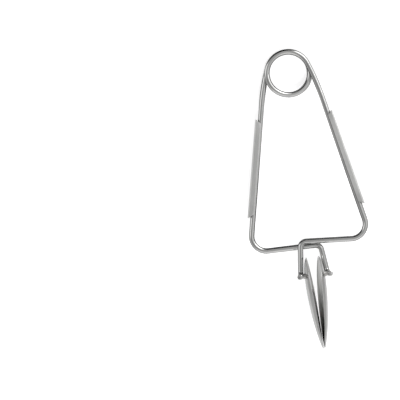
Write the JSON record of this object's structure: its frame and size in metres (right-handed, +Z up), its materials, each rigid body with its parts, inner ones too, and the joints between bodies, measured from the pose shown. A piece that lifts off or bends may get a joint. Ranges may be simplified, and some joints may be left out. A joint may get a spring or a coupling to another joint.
{
  "type": "escargot tongs",
  "caption": "Spring tongs that grip a snail shell: crossed wire arms wound into a coil spring, two dished jaws that part when the finger grips are squeezed.",
  "frame": {"origin": "on the table under the middle of the tongs as they lie flat", "axes": "+Y along the tongs from the jaws to the coil, +Z up off the table, +X to the right with the coil at the top"},
  "size_m": [0.0644, 0.1614, 0.0249],
  "materials": {
    "wire": "polished",
    "jaw": "polished",
    "grip": "satin",
    "weld": "satin"
  },
  "bodies": {
    "coil": {"coil_spring": "wire"},
    "left_arm": {"left_arm_wire": "wire", "left_finger_grip": "grip", "right_jaw": "jaw", "right_jaw_upper_weld": "weld", "right_jaw_lower_weld": "weld"},
    "right_arm": {"right_arm_wire": "wire", "right_finger_grip": "grip", "left_jaw": "jaw", "left_jaw_upper_weld": "weld", "left_jaw_lower_weld": "weld"}
  },
  "joints": [
    {"name": "left_arm_squeeze", "type": "hinge", "parent": "coil", "child": "left_arm", "pos_m": [0.00008, 0.06774, 0.00378], "axis": [0, 0.0485, 0.9988], "range_deg": [0, 8], "stiffness_Nm_per_rad": 6, "springref_deg": -4.01},
    {"name": "right_arm_squeeze", "type": "hinge", "parent": "coil", "child": "right_arm", "pos_m": [0.00008, 0.06774, 0.00378], "axis": [0, -0.0485, -0.9988], "range_deg": [0, 8], "stiffness_Nm_per_rad": 6, "springref_deg": -4.01}
  ],
  "couplings": [
    {"joint": "right_arm_squeeze", "follows": "left_arm_squeeze", "ratio": 1}
  ]
}
